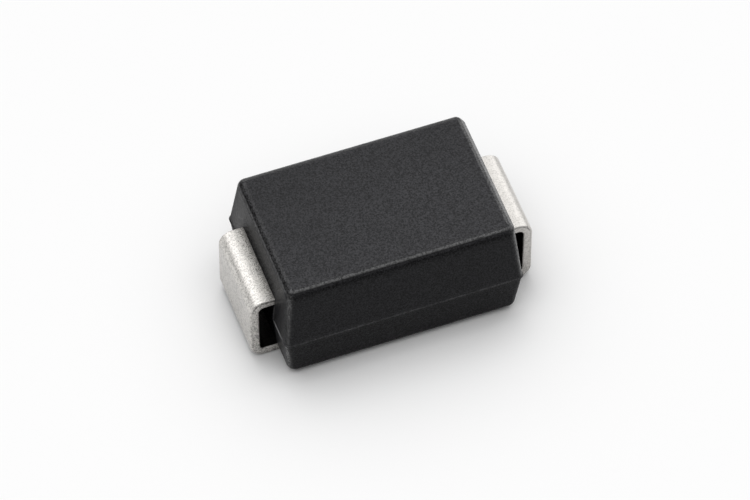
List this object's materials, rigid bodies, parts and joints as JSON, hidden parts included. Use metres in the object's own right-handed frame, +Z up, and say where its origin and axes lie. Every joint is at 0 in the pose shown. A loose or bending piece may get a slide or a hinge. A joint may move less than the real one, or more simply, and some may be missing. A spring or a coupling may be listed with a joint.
{
  "type": "tvs diode",
  "caption": "Black moulded surface-mount diode that clamps voltage spikes, with flat tinned leads bent down and under at each end.",
  "frame": {"origin": "centre of the part on the board plane, under the feet", "axes": "+X along the body towards the lead that lies on top of the die, +Z up from the board"},
  "size_m": [0.005, 0.003, 0.0022],
  "materials": {
    "epoxy": "fine matt moulded epoxy",
    "tinned_lead": "matt tin plating",
    "silicon": "lapped silicon with glassed bevels",
    "solder": "reflowed solder"
  },
  "bodies": {
    "root": {"moulded_body": "epoxy", "lower_lead": "tinned_lead", "upper_lead": "tinned_lead", "silicon_die": "silicon", "lower_solder": "solder", "upper_solder": "solder"}
  },
  "joints": []
}
